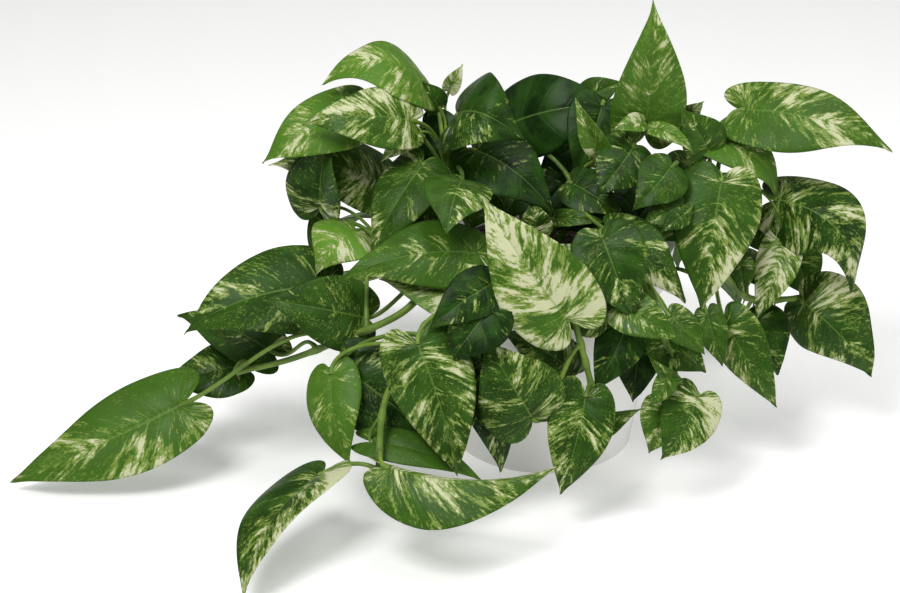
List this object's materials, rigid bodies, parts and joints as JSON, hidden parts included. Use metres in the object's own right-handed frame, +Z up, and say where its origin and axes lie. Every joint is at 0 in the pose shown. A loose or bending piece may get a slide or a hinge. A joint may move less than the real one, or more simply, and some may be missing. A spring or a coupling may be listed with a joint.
{
  "type": "potted pothos plant",
  "caption": "Bushy trailing pothos with heart-shaped, cream-marbled green leaves on arching stems, growing from soil in a plain tapered white pot.",
  "frame": {"origin": "centre of the pot's flat underside", "axes": "+Z up the pot's axis; -Y is the front, where the trailing leaves hang over the rim; +X to the right seen from the front"},
  "size_m": [0.4748, 0.3491, 0.2491],
  "materials": {
    "glaze": "satin off-white glaze",
    "soil": "damp crumbly potting mix",
    "stem": "smooth waxy green stem, browner where it is old",
    "leaf": "waxy dark green leaf marbled with cream and yellow green"
  },
  "bodies": {
    "root": {"pot": "glaze", "soil": "soil", "stem_crown_left": "stem", "stem_crown_middle": "stem", "stem_crown_right": "stem", "stem_left_high": "stem", "stem_left_long": "stem", "stem_left_low": "stem", "stem_front": "stem", "stem_front_right": "stem", "stem_right_low": "stem", "stem_back_left": "stem", "stem_back_left_low": "stem", "stem_back_right": "stem", "stem_back_right_low": "stem", "leaf_a1": "leaf", "leaf_a2": "leaf", "leaf_a3": "leaf", "leaf_b1": "leaf", "leaf_b2": "leaf", "leaf_b4": "leaf", "leaf_c1": "leaf", "leaf_c2": "leaf", "leaf_c3": "leaf", "leaf_d1": "leaf", "leaf_d2": "leaf", "leaf_d3": "leaf", "leaf_d4": "leaf", "leaf_i1": "leaf", "leaf_i2": "leaf", "leaf_i3": "leaf", "leaf_i4": "leaf", "leaf_i5": "leaf", "leaf_h1": "leaf", "leaf_h2": "leaf", "leaf_h4": "leaf", "leaf_h5": "leaf", "leaf_h6": "leaf", "leaf_l1": "leaf", "leaf_l2": "leaf", "leaf_l5": "leaf", "leaf_g12": "leaf", "leaf_e1": "leaf", "leaf_e2": "leaf", "leaf_e3": "leaf", "leaf_g2": "leaf", "leaf_g6": "leaf", "leaf_g10": "leaf", "leaf_g11": "leaf", "leaf_j1": "leaf", "leaf_j4": "leaf", "leaf_j8": "leaf", "leaf_j9": "leaf", "leaf_f1": "leaf", "leaf_f2": "leaf", "leaf_f3": "leaf", "leaf_f4": "leaf", "leaf_f5": "leaf", "leaf_f11": "leaf", "leaf_f12": "leaf"}
  },
  "joints": []
}
